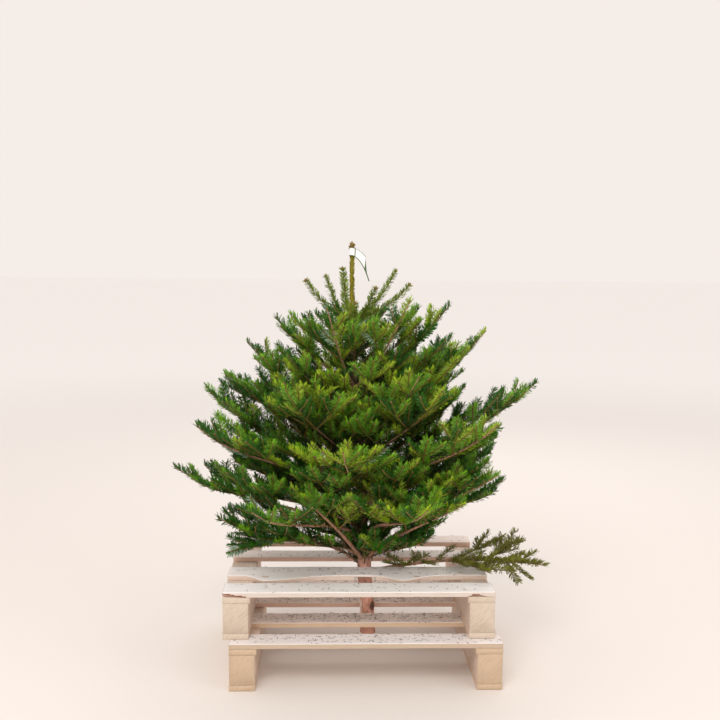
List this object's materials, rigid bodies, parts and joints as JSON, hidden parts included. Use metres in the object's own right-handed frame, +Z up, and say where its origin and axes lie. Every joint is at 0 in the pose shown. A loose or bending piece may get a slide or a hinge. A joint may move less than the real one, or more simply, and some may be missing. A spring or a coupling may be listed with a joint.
{
  "type": "christmas tree",
  "caption": "Cut fir christmas tree, its bare-footed trunk wedged upright through the decks of stacked wooden half pallets, a plain label tied round its leader.",
  "frame": {"origin": "middle of the underside of the whole object's box, on the ground under the stand", "axes": "+Z up along the tree, +X to the right along the deck boards, +Y away from the front"},
  "size_m": [1.163, 0.9528, 1.309],
  "materials": {
    "deck_wood": "rough-sawn pale softwood boards",
    "runner_wood": "rough-sawn softwood beam with warm end grain",
    "bark": "thin rough grey-brown bark",
    "foliage": "glossy green needles with pale undersides",
    "label": "smooth plain white label with thin green edges"
  },
  "bodies": {
    "root": {"label": "label", "leader_needles": "foliage", "low_left_bough": "bark", "low_left_mass": "foliage", "low_right_bough": "bark", "low_right_mass": "foliage", "lower_board_1": "deck_wood", "lower_board_2": "deck_wood", "lower_board_3": "deck_wood", "lower_board_4": "deck_wood", "lower_runner_left": "runner_wood", "lower_runner_right": "runner_wood", "tier2_mass_1": "foliage", "tier2_mass_2": "foliage", "tier2_mass_3": "foliage", "tier2_mass_4": "foliage", "tier2_mass_5": "foliage", "tier3_mass_1": "foliage", "tier3_mass_2": "foliage", "tier3_mass_3": "foliage", "tier3_mass_4": "foliage", "tier3_mass_5": "foliage", "tier3_mass_6": "foliage", "tier3_mass_7": "foliage", "tier4_mass_1": "foliage", "tier4_mass_2": "foliage", "tier4_mass_3": "foliage", "tier4_mass_4": "foliage", "tier4_mass_5": "foliage", "tier4_mass_6": "foliage", "tier5_bough_1": "bark", "tier5_bough_2": "bark", "tier5_bough_3": "bark", "tier5_bough_4": "bark", "tier5_bough_5": "bark", "tier5_bough_6": "bark", "tier5_mass_1": "foliage", "tier5_mass_2": "foliage", "tier5_mass_3": "foliage", "tier5_mass_4": "foliage", "tier5_mass_5": "foliage", "tier5_mass_6": "foliage", "tier6_bough_1": "bark", "tier6_bough_2": "bark", "tier6_bough_3": "bark", "tier6_bough_4": "bark", "tier6_bough_5": "bark", "tier6_mass_1": "foliage", "tier6_mass_2": "foliage", "tier6_mass_3": "foliage", "tier6_mass_4": "foliage", "tier6_mass_5": "foliage", "top_whorl": "foliage", "trunk": "bark", "upper_board_1": "deck_wood", "upper_board_2": "deck_wood", "upper_board_3": "deck_wood", "upper_board_4": "deck_wood", "upper_runner_left": "runner_wood", "upper_runner_right": "runner_wood"}
  },
  "joints": []
}
